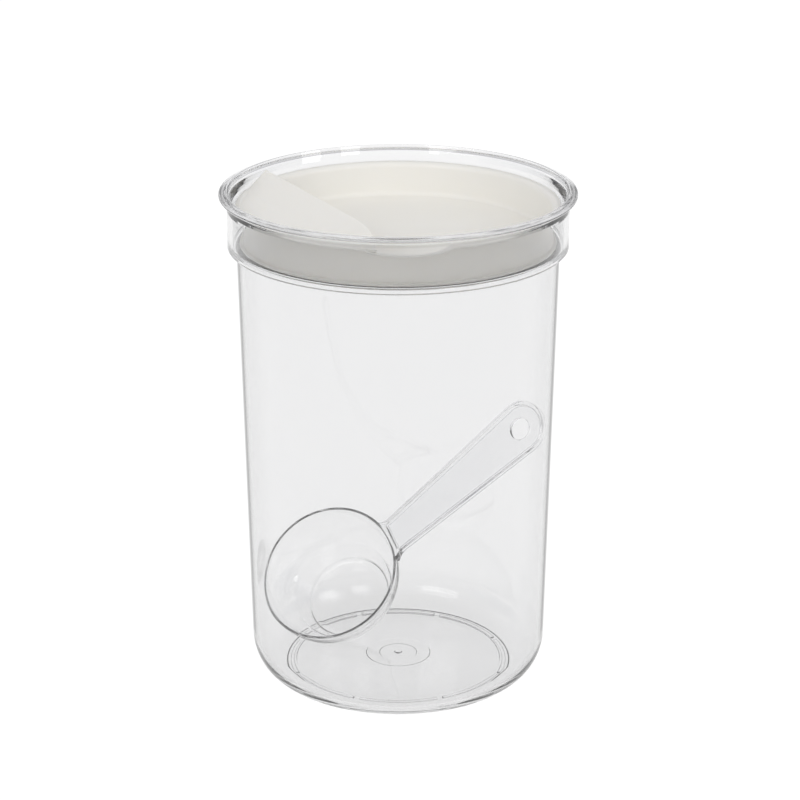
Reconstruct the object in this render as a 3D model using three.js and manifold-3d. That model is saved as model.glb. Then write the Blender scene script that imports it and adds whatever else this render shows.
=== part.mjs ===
// A dry goods canister: a clear round jar that narrows to its foot, a white push-in lid
// with a raised grip over its recess, and a clear measuring scoop that lies inside.
// Millimetres, +Z up, the front at -Y. The origin is the middle of the foot, on the
// surface that the canister stands on.

import * as THREE from 'three';
import { mergeVertices } from 'three/addons/utils/BufferGeometryUtils.js';
import Module from 'manifold-3d';

// Driving dimensions of the jar
const height = 203.5;                 // foot to the crest of the lip
const lipRadius = 70;                 // widest point of the canister
const bodyFootRadius = 59.64;         // outside of the body, carried down to the foot
const bodyTaper = 0.021;              // growth of that radius for each mm of height
const bodyWall = 1.9;
const floorTop = 2.9;                 // upper face of the jar's floor, at its edge
const floorRise = 2;                  // how much higher the domed floor is in its middle
const cornerRun = 12.8;               // rounded bottom corner, measured along the radius
const cornerTop = 16.1;               // height where the corner meets the straight wall
const collarRadius = 66.95;           // outside of the collar that takes the lid
const collarBottom = 181;
const collarInside = 64.9;
const ledgeTop = 183;                 // step inside the collar under the lid's shoulder
const flareBottom = 200;              // where the collar opens into the lip

// Driving dimensions of the underside
const edgeHeight = 0.15;              // bottom of the rounded corner, just above the foot
const soleRadius = 45.7;              // outer edge of the flat ring that carries the foot
const soleHeight = 0.9;
const domeEdge = 1.1;                 // edge of the dome inside that ring
const domeRadius = 41.9;
const footRadius = 43.75;             // middle line of the foot's arcs
const footWidth = 1.5;
const footArcs = 8;
const footGap = THREE.MathUtils.degToRad(3.4);

// Driving dimensions of the lid
const rimRadius = 63.7;               // outer edge of the lid's flange
const rimTop = 197.6;                 // crest of the flange
const skirtRadius = 60.6;             // outside of the lid's wall
const lidWall = 1.5;
const recessFloor = 184;
const shoulderRadius = 62.1;          // ring that lands on the jar's ledge
const shoulderGap = 0.35;
const plugBottom = 181.4;
const scallopAzimuth = THREE.MathUtils.degToRad(273.6);
const scallopHalfAngle = THREE.MathUtils.degToRad(15.5);
const scallopDepth = 2.2;

// Driving dimensions of the grip, in a frame whose x axis points out over the grip
const gripAzimuth = THREE.MathUtils.degToRad(208);
const gripEdge = 30.7;                // distance of the free edge from the lid's middle
const gripBend = 5.7;                 // how far its near end bends outwards
const gripRise = 4.8;                 // free edge above the flange
const gripRamp = 15.5;                // length over which the sheet climbs to that edge
const gripSheet = 1.5;
const gripOuter = 63.2;               // outer wall of the grip, over the flange
const gripRoll = 9;                   // length of the soft roll that replaces it at the near end

// Driving dimensions of the scoop, in a frame whose z axis is the bowl's axis
const bowlRadius = 28.1;              // inside of the bowl at its rim
const bowlWall = 1;
const bowlFloor = 1.5;
const bowlStep = 18.7;                // depth of the line round the bowl
const bowlStepRadius = 21.1;
const bowlDepth = 27.6;
const bowlBottomRadius = 17.3;
const handleSlope = THREE.MathUtils.degToRad(22.1);
const handleLength = 75.4;            // rim to the middle of the round end
const handleEnd = 11;                 // radius of the round end
const handleNeck = 7.7;               // half width beside the bowl
const handlePlate = 1.5;
const ribHeight = 3.4;
const ribWidth = 1.7;
const holeRadius = 4.5;
const holeSetback = 0.5;              // hole nearer the bowl than the round end's middle
const scoopCentre = new THREE.Vector3(-28.72, 5.26, 37.71);
const scoopFacing = THREE.MathUtils.degToRad(-114.24); // way that the bowl's mouth faces
const scoopTip = THREE.MathUtils.degToRad(45.75);      // mouth tipped from level
const scoopRoll = THREE.MathUtils.degToRad(131.67);    // handle round the bowl's axis

const roundSteps = 72;                // facets round the jar and the lid
const bowlSteps = 40;                 // facets round the scoop's bowl

const wasm = await Module();
wasm.setup();

const clearPlastic = new THREE.MeshStandardMaterial({
  color: 0xe9ecee, roughness: 0.05, metalness: 0, transparent: true, opacity: 0.3,
});
const scoopPlastic = new THREE.MeshStandardMaterial({
  color: 0xe4e8ea, roughness: 0.08, metalness: 0, transparent: true, opacity: 0.45,
});
const lidPlastic = new THREE.MeshStandardMaterial({
  color: 0xf0efea, roughness: 0.35, metalness: 0,
});

// Points of a round stretch of an outline, as an ellipse's arc between two angles
function bend(across, up, runAcross, runUp, from, to, steps) {
  const points = [];
  for (let i = 0; i <= steps; i += 1) {
    const angle = THREE.MathUtils.degToRad(from + ((to - from) * i) / steps);
    points.push([across + runAcross * Math.cos(angle), up + runUp * Math.sin(angle)]);
  }
  return points;
}

// A solid turned from a half outline of [radius, height] points, with +Z as its axis
function turned(outline, steps) {
  const points = outline.map(([radius, up]) => new THREE.Vector2(radius, up));
  const geometry = new THREE.LatheGeometry(points, steps);
  geometry.rotateX(Math.PI / 2);
  return geometry;
}

// A closed geometry as a solid that can be joined and cut
function solid(geometry) {
  const bare = geometry.clone();
  bare.deleteAttribute('normal');
  bare.deleteAttribute('uv');
  const merged = mergeVertices(bare, 1e-4);
  const corners = merged.index.array;
  const kept = [];
  for (let i = 0; i < corners.length; i += 3) {
    const [a, b, c] = [corners[i], corners[i + 1], corners[i + 2]];
    if (a !== b && b !== c && c !== a) {
      kept.push(a, b, c);
    }
  }
  const mesh = new wasm.Mesh({
    numProp: 3,
    vertProperties: new Float32Array(merged.attributes.position.array),
    triVerts: new Uint32Array(kept),
  });
  return new wasm.Manifold(mesh);
}

// A joined or cut solid as a geometry again
function surface(body) {
  const mesh = body.getMesh();
  const geometry = new THREE.BufferGeometry();
  geometry.setAttribute('position', new THREE.BufferAttribute(mesh.vertProperties, 3));
  geometry.setIndex(new THREE.BufferAttribute(mesh.triVerts, 1));
  geometry.computeVertexNormals();
  return geometry;
}

function bodyRadius(up) {
  return bodyFootRadius + bodyTaper * up;
}

// The jar

// Height of a shallow dome at a distance from its middle
function domeAt(distance, edge, radius) {
  return edge + floorRise * (1 - (distance / radius) ** 2);
}

// Outline of the underside: a shallow dome, the flat ring round it and the step outside that
function undersideOutline() {
  const dome = [0, 22, domeRadius].map((r) => [r, domeAt(r, domeEdge, domeRadius)]);
  return [...dome, [domeRadius + 0.4, soleHeight], [soleRadius, soleHeight],
    [soleRadius + 0.4, edgeHeight]];
}

// Collar and lip: a square-edged collar that opens into a lip whose crest is near its inside
function collarOutline() {
  const edgeRound = 0.5;
  return [
    [bodyRadius(collarBottom), collarBottom],
    ...bend(collarRadius - edgeRound, collarBottom + edgeRound, edgeRound, edgeRound, -90, 0, 2),
    [collarRadius, flareBottom], [collarRadius + 0.7, flareBottom + 0.9],
    [lipRadius - 0.7, height - 2.2], [lipRadius, height - 1.5], [lipRadius - 0.4, height - 0.8],
    [68, height - 0.1], [67.2, height], [66.5, height - 0.6],
    [65.5, 199.8], [collarInside, 197],
  ];
}

// Inside of the jar, from the ledge down to the middle of the floor
function insideOutline() {
  const filletRadius = 0.9;
  const mouth = bodyRadius(ledgeTop) - bodyWall;
  const cornerCentre = bodyRadius(cornerTop) - cornerRun;
  return [
    ...bend(collarInside - filletRadius, ledgeTop + filletRadius,
      filletRadius, filletRadius, 0, -90, 2),
    [mouth + 0.45, ledgeTop], [mouth, ledgeTop - 0.45],
    ...bend(cornerCentre, cornerTop, cornerRun - bodyWall, cornerTop - floorTop, 0, -90, 5),
    ...[38, 22, 0].map((r) => [r, domeAt(r, floorTop, cornerCentre)]),
  ];
}

// Marks in the middle of the underside: two faint rings and the stub left by the gate
function undersideMarks() {
  const ringSteps = 30;
  const inner = domeAt(7.7, domeEdge, domeRadius) - 0.2;
  const outer = domeAt(13.2, domeEdge, domeRadius) - 0.2;
  const middle = domeEdge + floorRise;
  const rings = turned([
    [7.7, inner], [13.2, outer], [13.2, middle + 0.5], [7.7, middle + 0.5], [7.7, inner],
  ], ringSteps);
  const gate = turned([
    [0, middle - 0.5], [1.3, middle - 0.5], [1.6, middle + 0.5], [0, middle + 0.5],
  ], 14);
  return solid(rings).add(solid(gate));
}

// One arc of the foot that the jar stands on
function footArc(index) {
  const pitch = (2 * Math.PI) / footArcs;
  const half = (pitch - footGap) / 2;
  const middle = index * pitch;
  const outline = new THREE.Shape();
  outline.absarc(0, 0, footRadius + footWidth / 2, middle - half, middle + half, false);
  outline.absarc(0, 0, footRadius - footWidth / 2, middle + half, middle - half, true);
  return new THREE.ExtrudeGeometry(outline, {
    depth: soleHeight + 0.3, bevelEnabled: false, curveSegments: 4,
  });
}

function makeJar() {
  const cornerCentre = bodyRadius(cornerTop) - cornerRun;
  const shell = turned([
    ...undersideOutline(),
    ...bend(cornerCentre, cornerTop, cornerRun, cornerTop - edgeHeight, -90, 0, 6),
    ...collarOutline(),
    ...insideOutline(),
  ], roundSteps);
  let body = solid(shell).add(undersideMarks());
  for (let i = 0; i < footArcs; i += 1) {
    body = body.add(solid(footArc(i)));
  }
  const jar = new THREE.Mesh(surface(body), clearPlastic);
  jar.name = 'jar';
  return jar;
}

// The lid

// Half outline of the lid without its grip, from the middle of its underside outwards
function lidOutline() {
  const shoulderBottom = ledgeTop + shoulderGap;
  const shoulderTop = shoulderBottom + 0.6;
  const inside = skirtRadius - lidWall;
  const filletRadius = 2;
  return [
    [0, recessFloor - lidWall], [inside - 0.3, recessFloor - lidWall],
    [inside, plugBottom], [skirtRadius - 0.4, plugBottom],
    [skirtRadius, plugBottom + 0.5], [skirtRadius, shoulderBottom],
    [shoulderRadius, shoulderBottom], [shoulderRadius, shoulderTop],
    [skirtRadius, shoulderTop + 0.4], [skirtRadius + 0.15, rimTop - 2],
    [skirtRadius + 0.8, rimTop - 1.2], [rimRadius - 0.5, rimTop - 0.9],
    [rimRadius, rimTop - 0.6], [rimRadius - 0.2, rimTop - 0.25],
    [rimRadius - 1.4, rimTop], [rimRadius - 2.6, rimTop - 0.2],
    [rimRadius - 3.5, rimTop - 0.9], [rimRadius - 4, rimTop - 2.1],
    [rimRadius - 4.1, rimTop - 3.6],
    ...bend(inside + 0.1 - filletRadius, recessFloor + filletRadius,
      filletRadius, filletRadius, 0, -90, 4),
    [0, recessFloor],
  ];
}

// Lowers the flange at the front in one shallow, nearly flat-bottomed dip
function dipFlange(geometry) {
  const place = geometry.attributes.position;
  for (let i = 0; i < place.count; i += 1) {
    const azimuth = Math.atan2(place.getY(i), place.getX(i)) + 2 * Math.PI;
    const offset = (azimuth % (2 * Math.PI)) - scallopAzimuth;
    const onFlange = THREE.MathUtils.smoothstep(place.getZ(i), rimTop - 5, rimTop - 1.2);
    if (Math.abs(offset) < scallopHalfAngle && onFlange > 0) {
      const shape = 1 - Math.abs(offset / scallopHalfAngle) ** 2.6;
      place.setZ(i, place.getZ(i) - scallopDepth * shape * onFlange);
    }
  }
}

// Distance of the grip's free edge: straight, then bending outwards to its near end
function gripEdgeAt(y) {
  const bendStart = 20;
  const bendRun = 32;
  return gripEdge + gripBend * Math.max(0, (y - bendStart) / bendRun) ** 2;
}

// Height of the grip's upper face at a place in the grip's frame. Its outer side is a small
// steep wall at the far end and rolls softly down to the flange at the near end.
function gripHeight(x, y) {
  const { clamp, lerp, smoothstep } = THREE.MathUtils;
  const climb = clamp(1 - (x - gripEdgeAt(y)) / gripRamp, 0, 1);
  const lift = gripRise * climb ** 1.6 * (1 - 0.2 * smoothstep(y, 30, 52));
  const inward = gripOuter - Math.hypot(x, y);
  const wallRun = lerp(1, 4.2, smoothstep(y, 0, 45));
  const slack = wallRun - Math.min(inward, wallRun);
  const drop = wallRun - Math.sqrt(Math.max(wallRun ** 2 - slack ** 2, 0));
  const rolled = lift * smoothstep(inward, 0, gripRoll);
  return rimTop - 0.2 + Math.max(lerp(lift - drop, rolled, smoothstep(y, 10, 40)), -0.3);
}

// Row in which a line beside the free edge meets the grip's outer wall
function gripEnd(side, outer, offset) {
  let y = side * 50;
  for (let i = 0; i < 20; i += 1) {
    y = side * Math.sqrt(outer ** 2 - (gripEdgeAt(y) + offset) ** 2);
  }
  return y * 0.999;
}

// A block under the grip's upper face, drawn in from its outer wall and lowered
function gripBlock(inset, lowered, bottom) {
  const rows = 22;
  const across = [0, 0.14, 0.3, 0.48, 0.66, 0.82, 0.93, 1];
  const columns = across.length - 1;
  const outer = gripOuter - inset;
  const offset = -2 * inset;
  const far = gripEnd(-1, outer, offset);
  const near = gripEnd(1, outer, offset);
  const upper = [];
  const under = [];
  for (let i = 0; i <= rows; i += 1) {
    const y = THREE.MathUtils.lerp(far, near, i / rows);
    const edge = gripEdgeAt(y) + offset;
    for (const share of across) {
      const x = THREE.MathUtils.lerp(edge, Math.sqrt(outer ** 2 - y ** 2), share);
      upper.push(x, y, gripHeight(x, y) - lowered);
      under.push(x, y, bottom);
    }
  }
  const faces = [];
  const lower = (rows + 1) * (columns + 1);
  const wall = (from, to) => faces.push(from, lower + from, lower + to, from, lower + to, to);
  for (let i = 0; i < rows; i += 1) {
    const start = i * (columns + 1);
    for (let j = 0; j < columns; j += 1) {
      const a = start + j;
      const b = a + columns + 1;
      faces.push(a, a + 1, b + 1, a, b + 1, b);
      faces.push(lower + a, lower + b + 1, lower + a + 1, lower + a, lower + b, lower + b + 1);
    }
    wall(start + columns, start + 2 * columns + 1);
    wall(start + columns + 1, start);
  }
  for (let j = 0; j < columns; j += 1) {
    wall(j, j + 1);
    wall(rows * (columns + 1) + j + 1, rows * (columns + 1) + j);
  }
  const geometry = new THREE.BufferGeometry();
  geometry.setAttribute('position', new THREE.Float32BufferAttribute([...upper, ...under], 3));
  geometry.setIndex(faces);
  return geometry;
}

// A thin sheet that rises from the flange to a free edge, hollow underneath for the fingers
function makeGrip() {
  const whole = solid(gripBlock(0, 0, rimTop - 1.1));
  const pocket = solid(gripBlock(gripSheet + 0.2, gripSheet, rimTop - 5));
  return whole.subtract(pocket);
}

function makeLid() {
  const cup = turned(lidOutline(), roundSteps);
  dipFlange(cup);
  const turn = THREE.MathUtils.radToDeg(gripAzimuth);
  const body = solid(cup).add(makeGrip().rotate([0, 0, turn]));
  const lid = new THREE.Mesh(surface(body), lidPlastic);
  lid.name = 'lid';
  return lid;
}

// The scoop

function bowlInside() {
  const depthOfCurve = bowlStep / Math.sqrt(1 - (bowlStepRadius / bowlRadius) ** 2);
  const points = [];
  for (let i = 0; i <= 6; i += 1) {
    const depth = (bowlStep * i) / 6;
    points.push([bowlRadius * Math.sqrt(1 - (depth / depthOfCurve) ** 2), -depth]);
  }
  points.push([bowlBottomRadius, -bowlDepth + 0.8], [bowlBottomRadius - 0.9, -bowlDepth]);
  points.push([0, -bowlDepth]);
  return points;
}

function bowlOutline() {
  const outside = bowlInside().slice(1, -1).reverse()
    .map(([radius, up]) => [radius + bowlWall * 0.95, up - bowlWall * 0.45]);
  outside[0][1] = -bowlDepth - bowlFloor;
  return [
    [0, -bowlDepth - bowlFloor], ...outside,
    [bowlRadius + bowlWall, 0.2], [bowlRadius + bowlWall - 0.3, 0.5],
    [bowlRadius + 0.3, 0.5], ...bowlInside(),
  ];
}

// Plan of the handle, drawn in from its edge by an inset
function handlePlan(inset) {
  const root = -1.6;
  const flareEnd = 3.5;
  const rootFlare = 2.1;
  const end = handleEnd - inset;
  const widening = Math.atan((handleEnd - handleNeck) / (handleLength - flareEnd));
  const side = [];
  for (let i = 0; i <= 3; i += 1) {
    const x = THREE.MathUtils.lerp(root + inset * 1.8, flareEnd, i / 3);
    const flare = (flareEnd - x) / (flareEnd - root);
    side.push(new THREE.Vector2(x, handleNeck + rootFlare * flare ** 2 - inset));
  }
  const round = [];
  for (let i = 0; i <= 14; i += 1) {
    const angle = (Math.PI / 2 + widening) * (i / 7 - 1);
    round.push(new THREE.Vector2(handleLength + end * Math.cos(angle), end * Math.sin(angle)));
  }
  const opposite = side.map((point) => new THREE.Vector2(point.x, -point.y));
  return [...opposite, ...round, ...side.reverse()];
}

// Handle: a thin plate with a hanging hole and a rib along its whole edge
function makeHandle() {
  const plate = new THREE.Shape(handlePlan(0));
  const hole = new THREE.Path();
  hole.absarc(handleLength - holeSetback, 0, holeRadius, 0, 2 * Math.PI, true);
  plate.holes.push(hole);
  const rib = new THREE.Shape(handlePlan(0));
  rib.holes.push(new THREE.Path(handlePlan(ribWidth)));
  const flat = new THREE.ExtrudeGeometry(plate, {
    depth: handlePlate, bevelEnabled: false, curveSegments: 16,
  });
  const raised = new THREE.ExtrudeGeometry(rib, { depth: ribHeight, bevelEnabled: false });
  flat.translate(0, 0, -handlePlate / 2);
  raised.translate(0, 0, -ribHeight / 2);
  const rootDrop = 0.9;
  return [flat, raised].map((geometry) => {
    geometry.rotateY(-handleSlope);
    geometry.translate(bowlRadius + bowlWall, 0, -rootDrop);
    return solid(geometry);
  });
}

function makeScoop() {
  const [flat, raised] = makeHandle();
  const hollow = solid(turned([...bowlInside().reverse(), [bowlRadius, 6], [0, 6]], bowlSteps));
  const body = solid(turned(bowlOutline(), bowlSteps)).add(flat).add(raised).subtract(hollow);
  const scoop = new THREE.Mesh(surface(body), scoopPlastic);
  scoop.name = 'scoop';
  scoop.rotation.z = scoopRoll;
  const tipped = new THREE.Group();
  tipped.rotation.order = 'ZYX';
  tipped.rotation.y = scoopTip;
  tipped.rotation.z = scoopFacing;
  tipped.position.copy(scoopCentre);
  tipped.add(scoop);
  return tipped;
}

const canister = new THREE.Group();
canister.add(makeJar(), makeLid(), makeScoop());

export default canister;
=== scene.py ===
# %% [markdown]
# # A clear storage canister, its white lid and its scoop
#
# The real thing is three injection-moulded pieces: a clear, stiff jar that narrows a
# little towards its foot, a white lid that pushes into the jar's collar, and a clear
# measuring scoop that was dropped inside. Nothing is printed or stuck on it here.
#
# Clear plastic has no colour of its own to hide behind. What you see is how its
# surfaces bend and mirror the room, so most of the work is in honest wall thickness,
# rounded edges and a well-planned light. We start by loading the measured model, which
# fixes where each piece sits.

# %% Load the measured model and list its pieces
import math

import bmesh
import bpy
import numpy as np
from mathutils import Euler, Matrix, Vector, geometry


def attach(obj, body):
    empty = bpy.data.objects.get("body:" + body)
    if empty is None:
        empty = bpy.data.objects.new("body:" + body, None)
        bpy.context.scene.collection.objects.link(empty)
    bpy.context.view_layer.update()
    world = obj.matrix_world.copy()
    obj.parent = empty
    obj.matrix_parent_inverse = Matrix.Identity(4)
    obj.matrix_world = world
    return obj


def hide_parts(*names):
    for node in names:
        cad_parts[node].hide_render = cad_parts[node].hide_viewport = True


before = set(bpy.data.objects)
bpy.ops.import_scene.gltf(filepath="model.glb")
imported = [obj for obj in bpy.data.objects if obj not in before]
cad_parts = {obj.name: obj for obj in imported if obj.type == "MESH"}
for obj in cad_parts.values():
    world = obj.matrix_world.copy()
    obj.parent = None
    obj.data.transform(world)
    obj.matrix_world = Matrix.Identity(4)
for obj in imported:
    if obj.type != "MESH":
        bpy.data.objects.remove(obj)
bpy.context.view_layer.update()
MM = 0.001
print("measured pieces:", sorted(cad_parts))

# %% [markdown]
# ## Tools for round pieces
#
# A turned piece is a half outline carried once round its axis, the way a lathe or a
# round mould cavity makes it. Outlines are easiest to write as a list of (radius,
# height) points in millimetres, with short helper arcs wherever the mould has a round
# corner. Even tiny corners matter on clear plastic, because a corner is what catches
# a bright or a dark line.


# %% Helpers: arcs, turned meshes and finished pieces
def arc(centre, radii, start, end, steps):
    """Points on an ellipse's arc between two angles in degrees."""
    points = []
    for i in range(steps + 1):
        angle = math.radians(start + (end - start) * i / steps)
        across = centre[0] + radii[0] * math.cos(angle)
        points.append((across, centre[1] + radii[1] * math.sin(angle)))
    return points


def smooth_step(low, high, value):
    """0 below low, 1 above high, and an even S between them."""
    t = min(max((value - low) / (high - low), 0.0), 1.0)
    return t * t * (3 - 2 * t)


def mix(a, b, share):
    """The value that lies that share of the way from a to b."""
    return a + (b - a) * share


def held(outline, longest=1.2, margin=0.12):
    """The outline with an extra point near each end of its long stretches.

    Smooth shading blends the slopes of neighbouring faces. The extra points keep that
    blend inside the corners, so flat walls stay optically flat.
    """
    points = [outline[0]]
    for a, b in zip(outline, outline[1:]):
        length = math.dist(a, b)
        if length > longest:
            for share in (margin / length, 1 - margin / length):
                points.append((mix(a[0], b[0], share), mix(a[1], b[1], share)))
        points.append(b)
    return points


def turned(outline, steps):
    """Vertices and faces of a closed outline turned round +Z. It starts and ends on the axis."""
    outline = held(outline)
    inner = outline[1:-1]
    vertices = [(0.0, 0.0, outline[0][1]), (0.0, 0.0, outline[-1][1])]
    for radius, height in inner:
        for k in range(steps):
            angle = 2 * math.pi * k / steps
            vertices.append((radius * math.cos(angle), radius * math.sin(angle), height))
    faces = []
    for k in range(steps):
        after = (k + 1) % steps
        faces.append((0, 2 + after, 2 + k))
        last = 2 + (len(inner) - 1) * steps
        faces.append((1, last + k, last + after))
        for i in range(len(inner) - 1):
            a, b = 2 + i * steps, 2 + (i + 1) * steps
            faces.append((a + k, a + after, b + after, b + k))
    return vertices, faces


def make_object(name, vertices, faces):
    """A mesh object from points in millimetres, with its faces turned outwards."""
    mesh = bpy.data.meshes.new(name)
    mesh.from_pydata([[c * MM for c in v] for v in vertices], [], faces)
    shape = bmesh.new()
    shape.from_mesh(mesh)
    bmesh.ops.remove_doubles(shape, verts=shape.verts, dist=1e-7)
    bmesh.ops.recalc_face_normals(shape, faces=shape.faces)
    shape.to_mesh(mesh)
    shape.free()
    piece = bpy.data.objects.new(name, mesh)
    bpy.context.scene.collection.objects.link(piece)
    return piece


def apply_modifiers(piece):
    """Bakes a piece's modifiers into its mesh and takes them off."""
    bpy.context.view_layer.update()
    evaluated = piece.evaluated_get(bpy.context.evaluated_depsgraph_get())
    mesh = bpy.data.meshes.new_from_object(evaluated)
    piece.modifiers.clear()
    piece.data = mesh
    return piece


def join_solids(piece, other, operation="UNION"):
    """Joins or cuts a piece with another closed one, which is then thrown away."""
    cut = piece.modifiers.new("join", "BOOLEAN")
    cut.operation = operation
    cut.solver = "EXACT"
    cut.object = other
    apply_modifiers(piece)
    bpy.data.objects.remove(other)
    return piece


def finish_piece(piece, node, material, sharp_angle):
    """Smooth shading, material, and the piece's place in the measured model."""
    mesh = piece.data
    mesh.materials.clear()
    mesh.materials.append(material)
    mesh.polygons.foreach_set("material_index", [0] * len(mesh.polygons))
    mesh.shade_smooth()
    mesh.set_sharp_from_angle(angle=math.radians(sharp_angle))
    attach(piece, "root")
    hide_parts(node)
    print(piece.name, "has", len(mesh.polygons), "faces")
    return piece


# %% [markdown]
# ## The jar's outline
#
# A jar like this is moulded upside down on a polished core, so its inside is as clean
# as its outside and the wall is thin and even, just under 2 mm. The wall leans out by
# about one degree, which lets the jar slide off the core. At the bottom the corner is
# generous, for easy scooping and easy washing. At the top a square-edged collar makes
# room for the lid, and ends in a lip that turns out over it on a small round.
#
# The outline is drawn in four parts, in the order in which a pencil would go round it:
# the underside from its middle, the outside, the lip, and the inside back to the axis.

# %% Sizes of the jar in millimetres
HEIGHT = 203.5
WALL = 1.9
WALL_BASE = 59.64  # outside radius of the leaning wall, carried down to the table
WALL_LEAN = 0.021  # growth of that radius for each millimetre of height
WALL_RINGS = (30, 60, 90, 120, 150, 175)  # heights at which the wall has a ring of points
FLOOR_TOP = 2.9
CORNER_TOP = 16.1
CORNER_RUN = 12.8
COLLAR_RADIUS = 66.95
COLLAR_BOTTOM = 181.0
COLLAR_INSIDE = 64.9
LEDGE = 183.0
EDGE = 0.15  # how far the outer edge of the underside stays above the table
SOLE = 0.9  # height of the flat ring that carries the foot's arcs
DOME = 2.0  # rise of the floor towards its middle
DOME_EDGE = 1.1
DOME_RADIUS = 41.9


def body_radius(height):
    """Outside of the leaning wall at that height."""
    return WALL_BASE + WALL_LEAN * height


CORNER_RADIUS = body_radius(CORNER_TOP) - CORNER_RUN
print("radius of the flat bottom inside its round corner:", round(CORNER_RADIUS, 2), "mm")


# %% The jar's outline, from the middle of the underside to the middle of the floor
def domed(base, radius, points):
    """Lifts (radius, height) points by the shallow dome of the floor."""
    return [(r, base + z + DOME * (1 - (r / radius) ** 2)) for r, z in points]


def jar_underside():
    """Gate mark, two faint rings, the shallow dome and the flat ring round it."""
    marks = [(0, -0.5), (1.1, -0.5), (1.35, -0.35), (1.5, -0.1), (1.7, 0), (4, 0)]
    marks += [(7.55, 0), (7.7, -0.1), (7.8, -0.2), (10.4, -0.2), (13.0, -0.2)]
    marks += [(13.15, -0.12), (13.3, 0)]
    marks += [(r, 0) for r in (16, 19, 22, 25, 28, 31, 34, 37, 40, DOME_RADIUS)]
    points = domed(DOME_EDGE, DOME_RADIUS, marks) + [(42.15, SOLE + 0.05), (42.3, SOLE)]
    return points + [(45.55, SOLE), (45.72, SOLE - 0.1), (46.0, EDGE + 0.1), (46.15, EDGE)]


def jar_outside():
    """Round bottom corner, leaning wall, and the square step out to the collar."""
    foot = body_radius(COLLAR_BOTTOM)
    points = arc((CORNER_RADIUS, CORNER_TOP), (CORNER_RUN, CORNER_TOP - EDGE), -90, 0, 28)
    points += [(body_radius(h), h) for h in (*WALL_RINGS, COLLAR_BOTTOM - 0.7)]
    points += arc((foot + 0.5, COLLAR_BOTTOM - 0.5), (0.5, 0.5), 180, 90, 5)
    points += arc((COLLAR_RADIUS - 0.35, COLLAR_BOTTOM + 0.35), (0.35, 0.35), -90, 0, 6)
    return points + [(COLLAR_RADIUS, 188), (COLLAR_RADIUS, 195)]


def jar_lip():
    """Turns out over the collar, rounds over, and slopes back down inside."""
    points = arc((COLLAR_RADIUS + 1.1, 200.1), (1.1, 1.1), 180, 95, 8)
    points += arc((69.3, 202.0), (0.7, 0.72), -85, 75, 12)
    points += [(68.7, HEIGHT - 0.55), (68.0, HEIGHT - 0.22), (67.5, HEIGHT - 0.06)]
    points += arc((67.15, HEIGHT - 0.5), (0.55, 0.5), 85, 170, 8)
    return points + [(66.3, 202.2), (65.95, 201.2), (65.55, 200.0), (65.2, 198.8), (64.98, 197.6)]


def jar_inside():
    """Collar, the lid's ledge, wall and bottom corner, then the domed floor to the axis."""
    mouth = body_radius(LEDGE) - WALL
    corner = (CORNER_RUN - WALL, CORNER_TOP - FLOOR_TOP)
    points = [(COLLAR_INSIDE, 196.4), (COLLAR_INSIDE, 190)]
    points += arc((COLLAR_INSIDE - 0.9, LEDGE + 0.9), (0.9, 0.9), 0, -90, 7)
    points += arc((mouth + 0.45, LEDGE - 0.45), (0.45, 0.45), 90, 180, 5)
    points += [(body_radius(h) - WALL, h) for h in reversed(WALL_RINGS)]
    points += arc((CORNER_RADIUS, CORNER_TOP), corner, 0, -90, 28)
    rings = (44, 41, 38, 35, 31, 27, 23, 19, 15, 11, 7, 3, 0)
    return points + domed(FLOOR_TOP, CORNER_RADIUS, [(r, 0) for r in rings])


outline = jar_underside() + jar_outside() + jar_lip() + jar_inside()
vertices, faces = turned(outline, 256)
jar = make_object("Jar", vertices, faces)
print("jar outline:", len(outline), "points")

# %% [markdown]
# ## The foot, made with nodes
#
# The jar doesn't stand on its whole underside, which would rock and scratch. It stands
# on a thin ring that is broken into equal arcs, so that wash water can drain from
# inside the ring. Equal arcs round a circle follow a rule, so nodes can make them: one
# arc is swept from a rectangle, copied round the axis, and joined to the jar as one
# solid. The joining matters, because a clear solid must not have hidden walls inside.


# %% A short way to add math nodes to any node tree
def calculator(tree):
    """A function that adds one math node and gives back its result."""

    def calculate(operation, *values):
        node = tree.nodes.new("ShaderNodeMath")
        node.operation = operation
        for socket, value in zip(node.inputs, values):
            if isinstance(value, (int, float)):
                socket.default_value = value
            else:
                tree.links.new(value, socket)
        return node.outputs[0]

    return calculate


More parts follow.
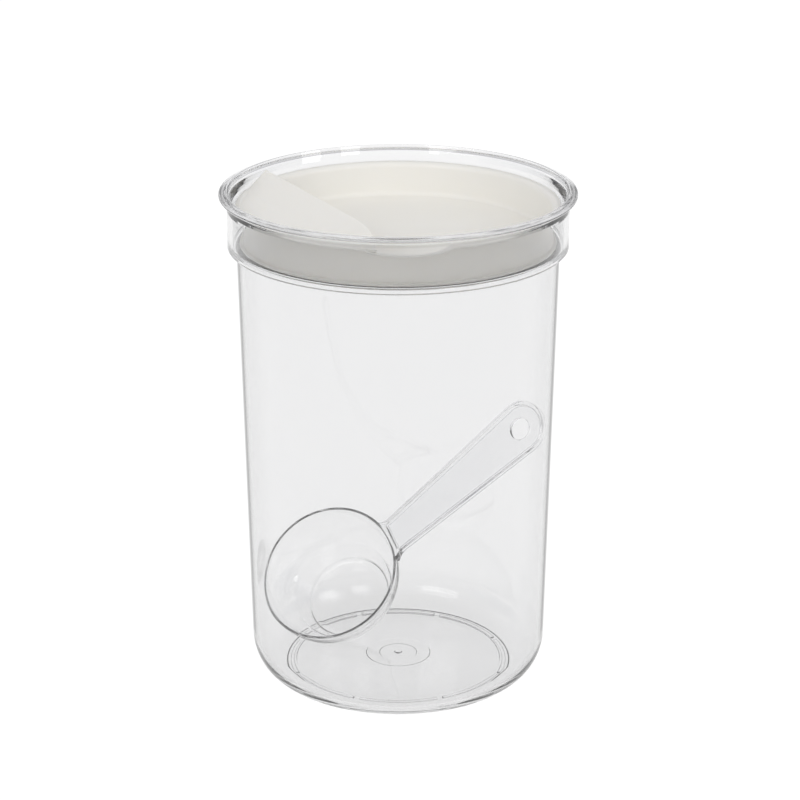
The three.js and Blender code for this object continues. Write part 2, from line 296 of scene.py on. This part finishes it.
# %% Foot arcs: a node group with named inputs
def foot_nodes():
    """Node group: arcs of a rectangular bar round the axis, joined to the incoming jar."""
    group = bpy.data.node_groups.new("Foot arcs", "GeometryNodeTree")
    face = group.interface
    face.new_socket("Jar", in_out="INPUT", socket_type="NodeSocketGeometry")
    for label, kind, value in (
        ("Arcs", "NodeSocketInt", 6),
        ("Radius", "NodeSocketFloat", 0.04),
        ("Width", "NodeSocketFloat", 0.002),
        ("Height", "NodeSocketFloat", 0.001),
        ("Gap angle", "NodeSocketFloat", 0.05),
        ("Edge round", "NodeSocketFloat", 0.25 * MM),
    ):
        face.new_socket(label, in_out="INPUT", socket_type=kind).default_value = value
    face.new_socket("Jar", in_out="OUTPUT", socket_type="NodeSocketGeometry")
    nodes, links = group.nodes, group.links
    given = nodes.new("NodeGroupInput")
    result = nodes.new("NodeGroupOutput")
    calculate = calculator(group)
    pitch = calculate("DIVIDE", 2 * math.pi, given.outputs["Arcs"])
    sweep = calculate("SUBTRACT", pitch, given.outputs["Gap angle"])
    bow = nodes.new("GeometryNodeCurveArc")
    bow.mode = "RADIUS"
    bow.inputs["Resolution"].default_value = 40
    links.new(given.outputs["Radius"], bow.inputs["Radius"])
    links.new(sweep, bow.inputs["Sweep Angle"])
    links.new(calculate("MULTIPLY", sweep, -0.5), bow.inputs["Start Angle"])
    bar = nodes.new("GeometryNodeCurvePrimitiveQuadrilateral")
    links.new(given.outputs["Width"], bar.inputs["Width"])
    links.new(calculate("MULTIPLY", given.outputs["Height"], 2), bar.inputs["Height"])
    rounded = nodes.new("GeometryNodeFilletCurve")
    rounded.mode = "POLY"
    rounded.inputs["Count"].default_value = 4
    links.new(bar.outputs[0], rounded.inputs["Curve"])
    links.new(given.outputs["Edge round"], rounded.inputs["Radius"])
    swept = nodes.new("GeometryNodeCurveToMesh")
    swept.inputs["Fill Caps"].default_value = True
    links.new(bow.outputs["Curve"], swept.inputs["Curve"])
    links.new(rounded.outputs["Curve"], swept.inputs["Profile Curve"])
    lifted = nodes.new("GeometryNodeTransform")
    offset = nodes.new("ShaderNodeCombineXYZ")
    links.new(given.outputs["Height"], offset.inputs["Z"])
    links.new(offset.outputs[0], lifted.inputs["Translation"])
    links.new(swept.outputs[0], lifted.inputs["Geometry"])
    middle = nodes.new("GeometryNodePoints")
    links.new(given.outputs["Arcs"], middle.inputs["Count"])
    index = nodes.new("GeometryNodeInputIndex")
    turn = nodes.new("ShaderNodeCombineXYZ")
    links.new(calculate("MULTIPLY", index.outputs[0], pitch), turn.inputs["Z"])
    copies = nodes.new("GeometryNodeInstanceOnPoints")
    links.new(middle.outputs[0], copies.inputs["Points"])
    links.new(lifted.outputs[0], copies.inputs["Instance"])
    links.new(turn.outputs[0], copies.inputs["Rotation"])
    real = nodes.new("GeometryNodeRealizeInstances")
    links.new(copies.outputs[0], real.inputs[0])
    joined = nodes.new("GeometryNodeMeshBoolean")
    joined.operation = "UNION"
    joined.solver = "EXACT"
    links.new(given.outputs["Jar"], joined.inputs["Mesh 2"])
    links.new(real.outputs[0], joined.inputs["Mesh 2"])
    finish = nodes.new("GeometryNodeSetMaterial")
    links.new(joined.outputs[0], finish.inputs["Geometry"])
    links.new(finish.outputs[0], result.inputs["Jar"])
    return group


foot = jar.modifiers.new("Foot arcs", "NODES")
foot.node_group = foot_nodes()
foot_sizes = {
    "Arcs": 8,
    "Radius": 43.75 * MM,
    "Width": 1.5 * MM,
    "Height": 0.8 * MM,
    "Gap angle": math.radians(3.4),
}
for socket in foot.node_group.interface.items_tree:
    if socket.in_out == "INPUT" and socket.name in foot_sizes:
        foot[socket.identifier] = foot_sizes[socket.name]
before = len(jar.data.polygons)
apply_modifiers(jar)
print("jar with its foot:", before, "faces before and", len(jar.data.polygons), "after")

# %% [markdown]
# ## The lid's cup
#
# The lid is one white moulding. Seen from above it is a shallow cup: a flat floor, a
# short steep wall, and a flange that rolls over the top. Its skirt pushes down into
# the jar's collar until a small shoulder meets the ledge. At the front the flange dips
# in one shallow dip, as wide as two fingers. The dip is made by lowering the flange's
# points by a curve that is flat in its middle and quick at its ends.

# %% The lid's cup and the dip in its flange
RIM_TOP = 197.6
SKIRT = 60.6
RECESS = 184.0  # top of the recess's floor
LID_WALL = 1.5
LID_GAP = 0.35  # between the shoulder and the jar's ledge
DIP_MIDDLE = math.radians(273.6)
DIP_HALF = math.radians(15.5)
DIP_DEPTH = 2.2


def lid_outline():
    """The closed half section of the lid, from the middle of its underside outwards."""
    inside, under, shoulder = SKIRT - LID_WALL, RECESS - LID_WALL, LEDGE + LID_GAP
    points = [(0, under), (30, under), (inside - 0.6, under), (inside - 0.15, under - 0.25)]
    points += [(inside, under - 0.6), (inside + 0.1, 181.6)]
    points += arc((inside + 0.75, 181.75), (0.6, 0.35), 200, 340, 6)
    points += [(SKIRT, 182.2), (SKIRT, shoulder - 0.1), (SKIRT + 0.1, shoulder)]
    points += arc((61.9, shoulder + 0.2), (0.2, 0.2), -90, 0, 4)
    points += arc((61.85, shoulder + 0.4), (0.25, 0.25), 0, 90, 4)
    points += [(SKIRT + 0.3, shoulder + 0.7), (SKIRT, shoulder + 1.0), (SKIRT + 0.05, 190)]
    points += [(SKIRT + 0.15, RIM_TOP - 2.1)]
    points += arc((SKIRT + 0.95, RIM_TOP - 1.9), (0.8, 0.8), 180, 95, 5)
    points += [(63.0, RIM_TOP - 0.95)]
    points += arc((63.2, RIM_TOP - 0.5), (0.5, 0.42), -85, 62, 9)
    roll = [(63.0, 0.12), (62.4, 0), (61.8, 0.06), (61.2, 0.28), (60.7, 0.6)]
    roll += [(60.3, 1.05), (60.05, 1.65), (59.93, 2.5), (59.9, 3.6)]
    points += [(radius, RIM_TOP - drop) for radius, drop in roll]
    points += [(59.55, 190)] + arc((57.2, RECESS + 2), (2, 2), 0, -90, 10)
    return points + [(30, RECESS), (0, RECESS)]


def dip_flange(points):
    """Lowers the flange at the front in one dip, and leaves the rest of the lid alone."""
    moved = []
    for x, y, z in points:
        offset = abs((math.atan2(y, x) % (2 * math.pi)) - DIP_MIDDLE) / DIP_HALF
        share = smooth_step(RIM_TOP - 5, RIM_TOP - 1.2, z) if math.hypot(x, y) > 50 else 0
        if offset < 1:
            z -= DIP_DEPTH * share * (1 - offset**2.6)
        moved.append((x, y, z))
    return moved


vertices, faces = turned(lid_outline(), 256)
lid = make_object("Lid", dip_flange(vertices), faces)
print("lid cup:", len(lid.data.polygons), "faces")

# %% [markdown]
# ## The grip
#
# A thin sheet grows out of the flange at the left and climbs to a free edge over the
# recess, so that fingertips can hook under it and lift the lid. Its plan is a circle's
# segment: straight along the free edge, bending outwards near the front end. A height
# rule gives the upper face, and the lower face follows it one sheet thickness below.
# Towards the flange the lower face dives into the lid, so the two join as one solid.

# %% The grip's sizes and the height of its upper face
GRIP_AZIMUTH = math.radians(208)
GRIP_OUTER = 63.2
GRIP_SHEET = 1.5
GRIP_REACH = 30.7  # from the lid's middle to the straight part of the free edge
GRIP_BEND = 5.7  # how far the front end of the free edge has bent outwards
GRIP_LIFT = 4.8
GRIP_SLOPE = 15.5  # width of the part that climbs
GRIP_ROLL = 9  # width of the part that rolls down into the flange
STRIP_DEPTH = 0.4  # the narrow lowered strip along the free edge
STRIP_WIDTH = (1.5, 1.7)


def grip_edge(y):
    """Distance of the free edge from the lid's middle, in the grip's own frame."""
    return GRIP_REACH + GRIP_BEND * max(0.0, (y - 20) / 32) ** 2


def grip_top(x, y):
    """Height of the upper face."""
    climb = min(max(1 - (x - grip_edge(y)) / GRIP_SLOPE, 0.0), 1.0)
    lift = GRIP_LIFT * climb**1.6 * (1 - 0.2 * smooth_step(30, 52, y))
    inward = GRIP_OUTER - math.hypot(x, y)
    run = mix(1.0, 4.2, smooth_step(0, 45, y))
    slack = run - min(inward, run)
    drop = run - math.sqrt(max(run**2 - slack**2, 0.0))
    rolled = lift * smooth_step(0, GRIP_ROLL, inward)
    strip = STRIP_DEPTH * (1 - smooth_step(*STRIP_WIDTH, x - grip_edge(y)))
    height = mix(lift - drop, rolled, smooth_step(10, 40, y)) - strip * smooth_step(0, 4, inward)
    return RIM_TOP - 0.2 + max(height, -0.3)


# %% The grip as a sheet with two faces and a rounded free edge
def grip_end(side):
    """Row in which the free edge meets the outer wall."""
    y = side * 50.0
    for _ in range(20):
        y = side * math.sqrt(GRIP_OUTER**2 - grip_edge(y) ** 2)
    return y * 0.999


def make_grip():
    """The closed sheet, turned to its place on the lid."""
    rows = 120
    shares = [0.12 + 0.78 * i / 21 for i in range(22)]
    shares += [0.92, 0.94, 0.955, 0.97, 0.98, 0.99, 0.996, 1.0]
    near = [0, 0.12, 0.35, 0.7, 1.05, 1.4, 1.5, 1.6, 1.7, 1.82, 2.2]
    width = len(near) + len(shares)
    top, bottom = [], []
    for i in range(rows + 1):
        ease = 0.5 - 0.5 * math.cos(math.pi * i / rows)
        y = mix(grip_end(-1), grip_end(1), mix(i / rows, ease, 0.6))
        edge, wall = grip_edge(y), math.sqrt(GRIP_OUTER**2 - y**2)
        reach = min(0.1 * (wall - edge) / near[-1], 1.0)
        across = [edge + reach * step for step in near]
        across += [mix(edge, wall, share) for share in shares]
        for x in across:
            high = grip_top(x, y)
            dive = smooth_step(60.9, 61.9, math.hypot(x, y))
            low = mix(high - GRIP_SHEET, RIM_TOP - 1.1, dive)
            inward = min((x - edge) / (GRIP_SHEET / 2), 1.0)
            pinch = (1 - math.sqrt(max(1 - (1 - inward) ** 2, 0.0))) * (high - low) / 2 * 0.94
            top.append((x, y, high - pinch))
            bottom.append((x, y, min(low + pinch, high - pinch - 0.02)))
    faces = []
    lower = len(top)
    for i in range(rows):
        for j in range(width - 1):
            a = i * width + j
            b = a + width
            faces.append((a, a + 1, b + 1, b))
            faces.append((lower + a, lower + b, lower + b + 1, lower + a + 1))
        start, after = i * width, (i + 1) * width
        end, last = start + width - 1, after + width - 1
        faces.append((end, lower + end, lower + last, last))
        faces.append((after, lower + after, lower + start, start))
    for j in range(width - 1):
        faces.append((j, lower + j, lower + j + 1, j + 1))
        end = rows * width + j
        faces.append((end + 1, lower + end + 1, lower + end, end))
    grip = make_object("Grip", top + bottom, faces)
    grip.data.transform(Matrix.Rotation(GRIP_AZIMUTH, 4, "Z"))
    return grip


join_solids(lid, make_grip())
print("lid with its grip:", len(lid.data.polygons), "faces")

# %% [markdown]
# ## The scoop
#
# The scoop is a second clear moulding: a round bowl with a flat bottom, and a long
# handle that widens to a round end with a hanging hole. A flat strip would be floppy,
# so a rib runs all round its edge and stands proud on both faces, which also gives the
# handle its pair of dark lines. Bowl and handle are built in the bowl's own frame,
# mouth up, then the whole scoop is tipped to the way it fell into the jar.

# %% The bowl's outline, inside and outside
BOWL_RADIUS = 28.1
BOWL_WALL = 1.0
BOWL_FLOOR = 1.5
STEP_DEPTH = 18.7
STEP_RADIUS = 21.1
BOWL_DEPTH = 27.6
BOTTOM_RADIUS = 17.3


def bowl_inside():
    """Inside of the bowl from its rim to the middle of its bottom."""
    curve_depth = STEP_DEPTH / math.sqrt(1 - (STEP_RADIUS / BOWL_RADIUS) ** 2)
    points = []
    for i in range(29):
        depth = STEP_DEPTH * i / 28
        points.append((BOWL_RADIUS * math.sqrt(1 - (depth / curve_depth) ** 2), -depth))
    for i in range(1, 9):
        radius = mix(STEP_RADIUS, BOTTOM_RADIUS, i / 8)
        points.append((radius, mix(-STEP_DEPTH, -BOWL_DEPTH + 0.8, i / 8)))
    points += arc((BOTTOM_RADIUS - 1.9, -BOWL_DEPTH + 1.3), (1.75, 1.3), -15, -90, 5)
    return points + [(0, -BOWL_DEPTH)]


def bowl_outline():
    """The bowl's closed half section."""
    inside = bowl_inside()
    outside = [(r + BOWL_WALL * 0.95, z - BOWL_WALL * 0.45) for r, z in inside[1:-7]]
    outside.reverse()
    under = -BOWL_DEPTH - BOWL_FLOOR
    corner = arc((BOTTOM_RADIUS - 0.8, under + 1.7), (1.7, 1.7), -90, -15, 6)
    rim = arc((BOWL_RADIUS + BOWL_WALL - 0.14, 0.36), (0.14, 0.14), 0, 90, 4)
    rim += arc((BOWL_RADIUS + 0.14, 0.36), (0.14, 0.14), 90, 180, 4)
    return [(0, under)] + corner + outside + rim + inside[1:]


vertices, faces = turned(bowl_outline(), 128)
scoop = make_object("Scoop", vertices, faces)
pairs = zip(bowl_inside(), bowl_inside()[1:])
content = sum(math.pi * a[0] ** 2 * (a[1] - b[1]) for a, b in pairs)
print("bowl holds about", round(content / 1000), "ml")

# %% [markdown]
# ## The scoop's handle
#
# The handle is built from its own outline, drawn again and again a little further in
# and at another height. Each new ring of points steps up the rounded outside of the
# rib, over its top and down to the thin plate. This gives smooth, even edges that a
# sharp extruded strip would need several rounds of bevelling to reach.

# %% The handle's sizes and its outline
HANDLE_SLOPE = math.radians(22.1)
HANDLE_LENGTH = 75.4
HANDLE_END = 11.0  # half its width at the round end
HANDLE_NECK = 7.7  # half its width just after the flare at the bowl
FLARE_END = 3.5
FLARE_WIDTH = 2.1
ROOT = 1.6  # how far the handle reaches into the bowl's wall
HOLE_RADIUS = 4.5
HOLE_SETBACK = 0.5
HOLE_BEVEL = 0.12
RIB_HALF = 1.7
PLATE_HALF = 0.75


def handle_plan(inset):
    """The handle's outline in its own plane, drawn in from the edge, anticlockwise."""
    end = HANDLE_END - inset
    widening = math.atan((HANDLE_END - HANDLE_NECK) / (HANDLE_LENGTH - FLARE_END))
    side = []
    for i in range(9):
        x = mix(-ROOT + inset * 1.8, FLARE_END, i / 8)
        share = (FLARE_END - x) / (FLARE_END + ROOT)
        side.append((x, HANDLE_NECK + FLARE_WIDTH * share**2 - inset))
    sweep = math.pi / 2 + widening
    reach, tip = HANDLE_LENGTH + end * math.cos(sweep), end * math.sin(sweep)
    side += [(mix(FLARE_END, reach, i / 16), mix(side[8][1], tip, i / 16)) for i in range(1, 16)]
    turn = [sweep * (i / 24 - 1) for i in range(49)]
    round_end = [(HANDLE_LENGTH + end * math.cos(a), end * math.sin(a)) for a in turn]
    return [(x, -y) for x, y in side] + round_end + side[::-1]


print("handle outline:", len(handle_plan(0)), "points")


# %% The handle's rings, its plate and its hanging hole
def make_handle():
    """The closed handle, lying along +X before it is lifted to its slope."""
    rib_top = [(0.0, 1.3), (0.03, 1.5), (0.1, 1.63), (0.24, RIB_HALF), (0.4, RIB_HALF)]
    rib_top += [(1.35, RIB_HALF), (1.5, RIB_HALF), (1.62, 1.62), (1.7, 1.45), (1.73, 1.25)]
    rib_top += [(1.78, PLATE_HALF + 0.12), (1.86, PLATE_HALF + 0.03)]
    rib_top += [(2.0, PLATE_HALF), (2.15, PLATE_HALF)]
    steps = rib_top[::-1] + [(inset, -height) for inset, height in rib_top]
    vertices, faces = [], []
    count = len(handle_plan(0))
    for inset, height in steps:
        vertices += [(x, y, height) for x, y in handle_plan(inset)]
    for i in range(len(steps) - 1):
        for k in range(count):
            a, b = i * count, (i + 1) * count
            after = (k + 1) % count
            faces.append((a + k, a + after, b + after, b + k))
    hole_steps = 64
    hole_x = HANDLE_LENGTH - HOLE_SETBACK
    wide, deep = HOLE_RADIUS + HOLE_BEVEL, PLATE_HALF - HOLE_BEVEL
    wall = [(wide, PLATE_HALF), (HOLE_RADIUS, deep), (HOLE_RADIUS, -deep), (wide, -PLATE_HALF)]
    first = len(vertices)
    for radius, height in wall:
        for k in range(hole_steps):
            angle = 2 * math.pi * k / hole_steps
            vertices.append((hole_x + radius * math.cos(angle), radius * math.sin(angle), height))
    for i in range(len(wall) - 1):
        for k in range(hole_steps):
            a, b = first + i * hole_steps, first + (i + 1) * hole_steps
            after = (k + 1) % hole_steps
            faces.append((a + k, b + k, b + after, a + after))
    upper = list(range(count))
    lower = list(range((len(steps) - 1) * count, len(steps) * count))
    hole_upper = list(range(first, first + hole_steps))
    hole_lower = list(range(first + 3 * hole_steps, first + 4 * hole_steps))
    for ring, hole in ((upper, hole_upper), (lower, hole_lower)):
        loops = [[Vector(vertices[i]) for i in ring], [Vector(vertices[i]) for i in hole]]
        order = ring + hole
        for triangle in geometry.tessellate_polygon(loops):
            faces.append(tuple(order[i] for i in triangle))
    handle = make_object("Handle", vertices, faces)
    lift = Matrix.Translation(Vector((BOWL_RADIUS + BOWL_WALL, 0, -0.9)) * MM)
    handle.data.transform(lift @ Matrix.Rotation(-HANDLE_SLOPE, 4, "Y"))
    return handle


join_solids(scoop, make_handle())
hollow = bowl_inside()[::-1] + [(BOWL_RADIUS, 8), (0, 8)]
vertices, faces = turned(hollow, 128)
join_solids(scoop, make_object("Hollow", vertices, faces), "DIFFERENCE")
print("scoop:", len(scoop.data.polygons), "faces")

# %% [markdown]
# ## The scoop's place in the jar
#
# The scoop was dropped in and came to rest with its bowl on the floor and its handle
# leaning on the wall. Three turns describe that: the handle is turned round the bowl's
# axis, the bowl is tipped, and the whole is turned to face the front left.

# %% Tip the scoop to where it rests
SCOOP_TURNS = ((-114.24, "Z"), (45.75, "Y"), (131.67, "Z"))  # the last one comes first
SCOOP_MIDDLE = (-28.72, 5.26, 37.71)  # middle of the bowl's rim
place = Matrix.Translation(Vector(SCOOP_MIDDLE) * MM)
for degrees, axis in SCOOP_TURNS:
    place = place @ Matrix.Rotation(math.radians(degrees), 4, axis)
scoop.data.transform(place)
for piece in (jar, lid, scoop):
    points = np.array([v.co for v in piece.data.vertices])
    print(piece.name, "spans", (points.min(0) / MM).round(1), "to", (points.max(0) / MM).round(1))


# %% [markdown]
# ## Clear plastic and white plastic
#
# Polished styrene-type plastic bends light a little more than glass and is never
# perfectly flat: the melt flows and shrinks, and leaves very long, very shallow waves.
# A weak bump makes them, and fine noise in the roughness stands for handling. Both
# read the object's own coordinates, so they stay put when the camera moves. A clear
# round wall looks darkest at its outline, where light has the longest way through it
# and slips off its surface. The jar gets that as painted shade: the colour of its outer
# wall alone is darkened where the wall turns away from the eye.
#
# The lid is opaque and white. A little light goes into it and comes out beside the spot
# where it went in, which softens its shadows. A fine satin grain breaks up its gloss.


# %% Helpers: a new material, a noise pattern, a ramp, a blend and a bump
def new_material(name):
    """A node material with its shader and an object-coordinate source."""
    material = bpy.data.materials.new(name)
    material.use_nodes = True
    nodes = material.node_tree.nodes
    shader = nodes["Principled BSDF"]
    place = nodes.new("ShaderNodeTexCoord")
    return material, shader, place.outputs["Object"]


def noise(material, place, scale, detail, stretch=(1, 1, 1)):
    """A noise pattern in the object's own space, optionally stretched."""
    nodes, links = material.node_tree.nodes, material.node_tree.links
    mapping = nodes.new("ShaderNodeMapping")
    mapping.inputs["Scale"].default_value = stretch
    pattern = nodes.new("ShaderNodeTexNoise")
    pattern.inputs["Scale"].default_value = scale
    pattern.inputs["Detail"].default_value = detail
    links.new(place, mapping.inputs["Vector"])
    links.new(mapping.outputs[0], pattern.inputs["Vector"])
    return pattern.outputs["Fac"]


def ramp(tree, value, before, after=(0.0, 1.0), smooth=False):
    """Carries a value from one range to another, in a straight line or in an S."""
    node = tree.nodes.new("ShaderNodeMapRange")
    if smooth:
        node.interpolation_type = "SMOOTHSTEP"
    for name, limit in zip(("From Min", "From Max", "To Min", "To Max"), (*before, *after)):
        node.inputs[name].default_value = limit
    tree.links.new(value, node.inputs["Value"])
    return node


def spread(material, pattern, low, high):
    """Carries a noise pattern, most of which lies from 0.3 to 0.7, to another range."""
    return ramp(material.node_tree, pattern, (0.3, 0.7), (low, high)).outputs[0]


def blended(tree, amount, first, second):
    """A colour that goes from the first to the second with the amount."""
    node = tree.nodes.new("ShaderNodeMix")
    node.data_type = "RGBA"
    colours = [socket for socket in node.inputs if socket.type == "RGBA"]
    colours[0].default_value = (*first, 1)
    colours[1].default_value = (*second, 1)
    tree.links.new(amount, node.inputs["Factor"])
    return [socket for socket in node.outputs if socket.type == "RGBA"][0]


def bump(material, shader, value, strength, distance):
    """Raises the surface by a pattern."""
    nodes, links = material.node_tree.nodes, material.node_tree.links
    raised = nodes.new("ShaderNodeBump")
    raised.inputs["Strength"].default_value = strength
    raised.inputs["Distance"].default_value = distance
    links.new(value, raised.inputs["Height"])
    links.new(raised.outputs["Normal"], shader.inputs["Normal"])


# %% Painted shade on the edge of the jar's outer wall
def painted_edge_shade(material, place, tint, edge):
    """Painted shade: the tint, darkened where the jar's outer wall turns away from the eye."""
    tree = material.node_tree
    calculate = calculator(tree)
    parts = tree.nodes.new("ShaderNodeSeparateXYZ")
    tree.links.new(place, parts.inputs[0])
    x, y, z = parts.outputs
    square = calculate("ADD", calculate("MULTIPLY", x, x), calculate("MULTIPLY", y, y))
    middle = calculate("MULTIPLY_ADD", z, WALL_LEAN, (WALL_BASE - WALL / 2) * MM)
    outer = calculate("GREATER_THAN", calculate("SQRT", square), middle)
    facing = tree.nodes.new("ShaderNodeLayerWeight")
    facing.inputs["Blend"].default_value = 0.5
    # Painted shade: the wall's colour darkens where it turns away from the eye, in a broad band
    # and a narrow one.
    broad, narrow = (
        ramp(tree, facing.outputs["Facing"], turned_away, (0.0, strength), smooth=True).outputs[0]
        for turned_away, strength in (((0.45, 0.75), 0.25 * edge), ((0.72, 0.88), edge))
    )
    both = calculate("MINIMUM", calculate("ADD", broad, narrow), 1.0)
    # The collar and lip get 0.3 of this painted shade, and near the table it fades to an even,
    # light painted shade.
    below_collar = calculate("LESS_THAN", z, COLLAR_BOTTOM * MM)
    share = calculate("MULTIPLY_ADD", below_collar, 0.7, 0.3)
    bottom = (6 * MM, 20 * MM)
    upright = ramp(tree, z, bottom, (0.15, 1.0)).outputs[0]
    painted_shade_near_table = ramp(tree, z, bottom, (0.07, 0.0)).outputs[0]
    amount = calculate("MULTIPLY", both, calculate("MULTIPLY", outer, share))
    amount = calculate("MULTIPLY_ADD", amount, upright, painted_shade_near_table)
    return blended(tree, amount, tint, (0, 0, 0))


# %% The three plastics
def clear_plastic(name, tint, roughest, density, edge=0.0):
    """Transparent moulded plastic that swallows a little light along a long way through it."""
    material, shader, place = new_material(name)
    links = material.node_tree.links
    shader.inputs["Base Color"].default_value = (*tint, 1)
    shader.inputs["Transmission Weight"].default_value = 1.0
    shader.inputs["IOR"].default_value = 1.56
    fine = noise(material, place, 900, 3)
    links.new(spread(material, fine, 0.0, roughest), shader.inputs["Roughness"])
    flow = noise(material, place, 30, 1, (1, 1, 0.06))
    bump(material, shader, flow, 0.1, 0.2 * MM)
    # The jar's outer wall gets painted shade at its outline, as strong as edge.
    if edge:
        links.new(painted_edge_shade(material, place, tint, edge), shader.inputs["Base Color"])
    # The absorption colour is kept at a middle grey, so the density alone sets the depth.
    inside = material.node_tree.nodes.new("ShaderNodeVolumeAbsorption")
    inside.inputs["Color"].default_value = (0.5, 0.5, 0.505, 1)
    inside.inputs["Density"].default_value = density
    links.new(inside.outputs[0], material.node_tree.nodes["Material Output"].inputs["Volume"])
    return material


def white_plastic():
    """Opaque white moulded plastic with a fine satin grain."""
    material, shader, place = new_material("White plastic")
    links = material.node_tree.links
    shader.inputs["Base Color"].default_value = (0.905, 0.885, 0.83, 1)
    shader.inputs["IOR"].default_value = 1.5
    shader.inputs["Subsurface Weight"].default_value = 0.15
    shader.inputs["Subsurface Radius"].default_value = (0.004, 0.0036, 0.003)
    shader.inputs["Subsurface Scale"].default_value = 1.0
    cloud = noise(material, place, 60, 4)
    links.new(spread(material, cloud, 0.3, 0.42), shader.inputs["Roughness"])
    bump(material, shader, noise(material, place, 2200, 2), 0.12, 0.04 * MM)
    return material


JAR_TINT = (0.904, 0.904, 0.906)
SCOOP_TINT = (0.995, 0.995, 0.995)
# edge=0.9 sets how deep the painted shade at the jar's outline goes.
jar_clear = clear_plastic("Clear jar plastic", JAR_TINT, roughest=0.01, density=16, edge=0.9)
scoop_clear = clear_plastic("Clear scoop plastic", SCOOP_TINT, roughest=0.02, density=14)
lid_white = white_plastic()
finish_piece(jar, "jar", jar_clear, 35)
finish_piece(lid, "lid", lid_white, 30)
finish_piece(scoop, "scoop", scoop_clear, 30)

# %% [markdown]
# ## Floor and light
#
# The photo was taken on a white table that fades into a white room. A lit white floor
# gives that even ground. Clear plastic also needs something darker to mirror, or its
# edges vanish, so the room gets greyer overhead and has dark cloth at both sides. A few
# broad panels make the soft white streaks.

# %% A plain pale floor that gives its own light
mesh = bpy.data.meshes.new("Floor")
mesh.from_pydata([(-4, -4, 0), (4, -4, 0), (4, 4, 0), (-4, 4, 0)], [], [(0, 1, 2, 3)])
floor = bpy.data.objects.new("Floor", mesh)
bpy.context.scene.collection.objects.link(floor)
floor.location.z = -0.2 * MM
paper = bpy.data.materials.new("Lit white table")
paper.use_nodes = True
surface = paper.node_tree.nodes["Principled BSDF"]
surface.inputs["Base Color"].default_value = (0.08, 0.08, 0.08, 1)
surface.inputs["Roughness"].default_value = 0.9
surface.inputs["Specular IOR Level"].default_value = 0.0
surface.inputs["Emission Color"].default_value = (1, 1, 1, 1)
surface.inputs["Emission Strength"].default_value = 1.0
mesh.materials.append(paper)
print("floor:", [round(c, 2) for c in floor.dimensions], "m")


# %% A soft room with dark cloth at both sides
OVERHEAD = 0.58  # brightness high up, where the horizon has 1
ROOM_WHITE = (0.985, 0.985, 1)
CLOTH = (0.3, 0.33, 0.42)


def studio_world():
    """A soft room: white in front and behind, greyer overhead, and dark cloth at both sides.

    The cloth shows only in what the plastic mirrors and bends, never as the background.
    """
    world = bpy.data.worlds.new("Studio")
    world.use_nodes = True
    tree = world.node_tree
    nodes, links, calculate = tree.nodes, tree.links, calculator(tree)
    place = nodes.new("ShaderNodeTexCoord")
    parts = nodes.new("ShaderNodeSeparateXYZ")
    links.new(place.outputs["Generated"], parts.inputs[0])
    rise = ramp(tree, parts.outputs["Z"], (0.0, 0.9), (1.0, OVERHEAD))
    side = calculate("ABSOLUTE", parts.outputs["X"])
    cloth = ramp(tree, side, (0.8, 0.94), smooth=True)
    path = nodes.new("ShaderNodeLightPath")
    indirect = calculate("SUBTRACT", 1.0, path.outputs["Is Camera Ray"])
    links.new(indirect, cloth.inputs["To Max"])
    sky = nodes["Background"]
    links.new(blended(tree, cloth.outputs[0], ROOM_WHITE, CLOTH), sky.inputs["Color"])
    links.new(rise.outputs[0], sky.inputs["Strength"])
    bpy.context.scene.world = world


studio_world()
print("room:", bpy.context.scene.world.name)


# %% Broad soft panels
AIM = Vector((0, 0, 0.1))


def panel(name, place, width, height, radiance):
    """A broad soft light that faces the jar. Its power follows from how bright its face is."""
    light = bpy.data.lights.new(name, "AREA")
    light.shape = "RECTANGLE"
    light.size, light.size_y = width, height
    light.energy = radiance * width * height * math.pi
    lamp = bpy.data.objects.new(name, light)
    bpy.context.scene.collection.objects.link(lamp)
    lamp.location = place
    lamp.rotation_euler = (AIM - Vector(place)).to_track_quat("-Z", "Y").to_euler()


for name, place, width, height, radiance in (
    ("Front left softbox", (-0.83, -0.99, 1.04), 0.9, 0.6, 3.0),
    ("Front right softbox", (0.75, -1.07, 1.02), 0.36, 0.7, 3.0),
    ("Right softbox", (1.27, -0.59, 0.85), 0.4, 0.8, 2.4),
):
    panel(name, place, width, height, radiance)

# %% [markdown]
# ## Camera
#
# The camera's height, tilt and focal length were worked out from the ellipses of the
# lip and the foot: how flat they are tells the tilt, and how much flatter the upper
# one is tells the distance.

# %% The camera
CAMERA_PLACE = (0, -0.97404, 0.47482)
CAMERA_DOWN = 20.254  # degrees below level
view = bpy.data.cameras.new("Camera")
camera = bpy.data.objects.new("Camera", view)
bpy.context.scene.collection.objects.link(camera)
camera.location = CAMERA_PLACE
camera.rotation_euler = Euler((math.radians(90 - CAMERA_DOWN), 0, 0))
view.sensor_width = 36
view.lens = 116.46
view.shift_x = 0.00225
bpy.context.scene.camera = camera
print("camera:", round(view.lens, 1), "mm lens,", CAMERA_DOWN, "degrees down")

# %% [markdown]
# ## Last settings
#
# The plain Standard view keeps white plastic white. Light must be allowed many turns
# inside clear pieces, or their edges go black.

# %% Picture settings
scene = bpy.context.scene
scene.view_settings.view_transform = "Standard"
scene.view_settings.look = "None"
scene.cycles.max_bounces = 24
scene.cycles.transmission_bounces = 24
scene.cycles.glossy_bounces = 12
scene.cycles.diffuse_bounces = 4
